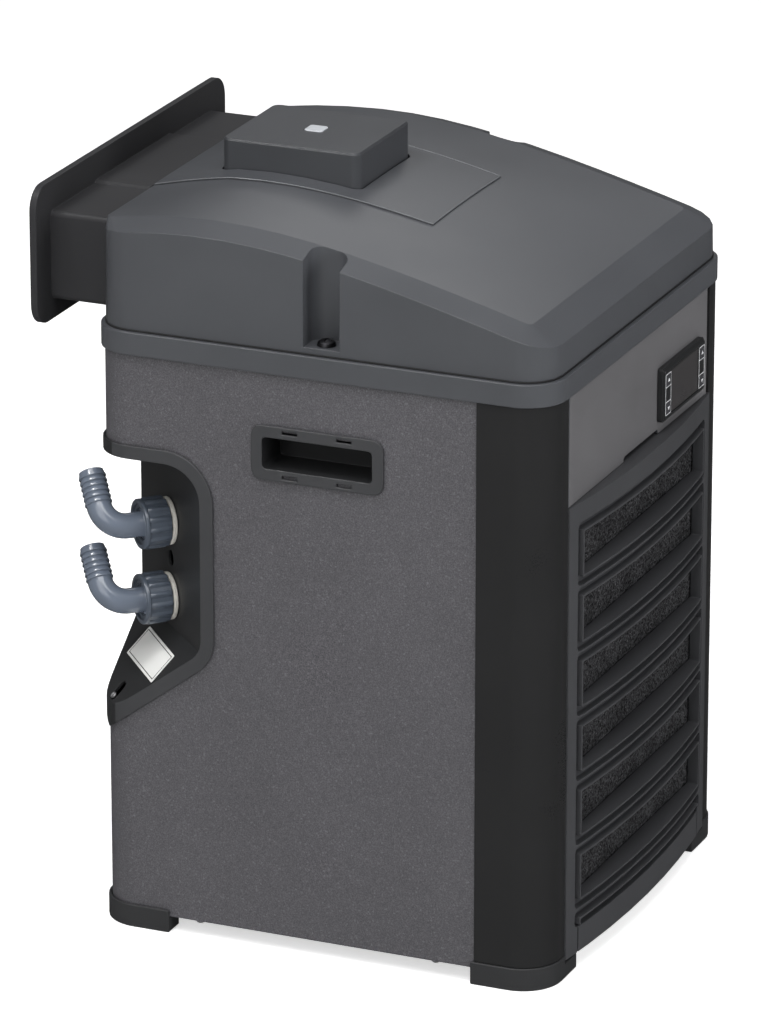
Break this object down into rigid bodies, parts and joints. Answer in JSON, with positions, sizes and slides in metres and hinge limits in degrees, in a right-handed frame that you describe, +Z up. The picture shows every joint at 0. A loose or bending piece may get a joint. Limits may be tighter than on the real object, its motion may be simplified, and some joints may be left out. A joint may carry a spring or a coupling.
{
  "type": "heat pump unit",
  "caption": "Floor-standing heat pump cabinet with an arched lift-off lid, a louvred front intake, a rear exhaust duct and hose elbows in a back corner pocket.",
  "frame": {"origin": "middle of the unit's bounding box, on the floor under the feet", "axes": "+Z up, -Y out of the front intake, +Y out of the exhaust duct, +X to the right seen from the front"},
  "size_m": [0.328, 0.3878, 0.5293],
  "materials": {
    "sheet": "warm dark grey powder coat with a fine sparkle",
    "body": "satin mid-dark grey moulded plastic",
    "gloss": "glossy black",
    "black": "satin black moulded plastic",
    "duct": "satin black moulded plastic",
    "pvc": "blue-grey solvent-weld plastic, semi-gloss",
    "gasket": "off-white seal",
    "foam": "black open filter mesh",
    "steel": "zinc plated",
    "copper": "bare copper tube",
    "aluminium": "bare fins",
    "screen": "dark smoked window",
    "key": "dark soft key",
    "light": "silver-grey plastic",
    "rubber": "black rubber",
    "enamel": "black enamel",
    "board": "green circuit board",
    "label": "white blank label"
  },
  "bodies": {
    "cabinet": {"base_tray": "black", "foot_front_left": "body", "foot_front_right": "body", "foot_back_left": "body", "foot_back_right": "body", "upright_left": "gloss", "upright_right": "gloss", "side_panel_left": "sheet", "side_panel_right": "sheet", "back_panel": "sheet", "mains_inlet": "black", "collar_fascia": "body", "handle_left": "body", "handle_right": "body", "hose_recess": "black", "blank_label": "label", "recess_screw": "steel", "controller_body": "black", "display_window": "screen", "port_spigot_upper": "pvc", "port_spigot_lower": "pvc", "port_gasket_upper": "gasket", "port_gasket_lower": "gasket", "condenser_coil": "aluminium", "fan_shroud": "black", "motor_bracket": "steel", "fan_motor": "enamel", "compressor": "enamel", "compressor_grommet_1": "rubber", "compressor_grommet_2": "rubber", "compressor_grommet_3": "rubber", "compressor_grommet_4": "rubber", "terminal_cover": "black", "heat_exchanger": "pvc", "suction_pipe": "copper", "discharge_pipe": "copper", "liquid_line": "copper", "filter_drier": "copper", "capillary_coil": "copper", "control_box": "black", "control_board": "board"},
    "lid": {"lid": "body", "lid_screw_left": "steel", "lid_screw_right": "steel"},
    "control_module": {"module_cover": "body"},
    "module_button": {"module_button": "light"},
    "duct": {"exhaust_duct": "duct"},
    "grille": {"front_grille": "body", "filter_mat": "foam"},
    "fan": {"fan_rotor": "black"},
    "key_left_upper": {"key_left_upper": "key"},
    "key_left_lower": {"key_left_lower": "key"},
    "key_right_upper": {"key_right_upper": "key"},
    "key_right_lower": {"key_right_lower": "key"},
    "nut_upper": {"union_nut_upper": "pvc"},
    "nut_lower": {"union_nut_lower": "pvc"},
    "elbow_upper": {"hose_elbow_upper": "pvc"},
    "elbow_lower": {"hose_elbow_lower": "pvc"}
  },
  "joints": [
    {"name": "lid_lift", "type": "slide", "parent": "cabinet", "child": "lid", "axis": [0, 0, 1], "range_m": [0, 0.12]},
    {"name": "module_lift", "type": "slide", "parent": "lid", "child": "control_module", "axis": [0, 0, 1], "range_m": [0, 0.04]},
    {"name": "module_button_press", "type": "slide", "parent": "control_module", "child": "module_button", "axis": [0, 0, -1], "range_m": [0, 0.0008], "stiffness_N_per_m": 300},
    {"name": "duct_pull", "type": "slide", "parent": "lid", "child": "duct", "axis": [0, 1, 0], "range_m": [0, 0.02]},
    {"name": "grille_tilt", "type": "hinge", "parent": "cabinet", "child": "grille", "pos_m": [0, -0.18205, 0.013], "axis": [1, 0, 0], "range_deg": [0, 35]},
    {"name": "fan_spin", "type": "hinge", "parent": "cabinet", "child": "fan", "pos_m": [0, -0.10605, 0.178], "axis": [0, 1, 0], "continuous": true},
    {"name": "key_left_upper_press", "type": "slide", "parent": "cabinet", "child": "key_left_upper", "axis": [0, 1, 0], "range_m": [0, 0.0008], "stiffness_N_per_m": 300},
    {"name": "key_left_lower_press", "type": "slide", "parent": "cabinet", "child": "key_left_lower", "axis": [0, 1, 0], "range_m": [0, 0.0008], "stiffness_N_per_m": 300},
    {"name": "key_right_upper_press", "type": "slide", "parent": "cabinet", "child": "key_right_upper", "axis": [0, 1, 0], "range_m": [0, 0.0008], "stiffness_N_per_m": 300},
    {"name": "key_right_lower_press", "type": "slide", "parent": "cabinet", "child": "key_right_lower", "axis": [0, 1, 0], "range_m": [0, 0.0008], "stiffness_N_per_m": 300},
    {"name": "nut_upper_turn", "type": "hinge", "parent": "cabinet", "child": "nut_upper", "pos_m": [-0.12355, 0.1065, 0.2825], "axis": [-0.7071, 0.7071, 0], "continuous": true},
    {"name": "elbow_upper_swivel", "type": "hinge", "parent": "cabinet", "child": "elbow_upper", "pos_m": [-0.12355, 0.1065, 0.2825], "axis": [-0.7071, 0.7071, 0], "range_deg": [-90, 45]},
    {"name": "nut_lower_turn", "type": "hinge", "parent": "cabinet", "child": "nut_lower", "pos_m": [-0.12355, 0.1065, 0.2288], "axis": [-0.7071, 0.7071, 0], "continuous": true},
    {"name": "elbow_lower_swivel", "type": "hinge", "parent": "cabinet", "child": "elbow_lower", "pos_m": [-0.12355, 0.1065, 0.2288], "axis": [-0.7071, 0.7071, 0], "range_deg": [-120, 60]}
  ]
}
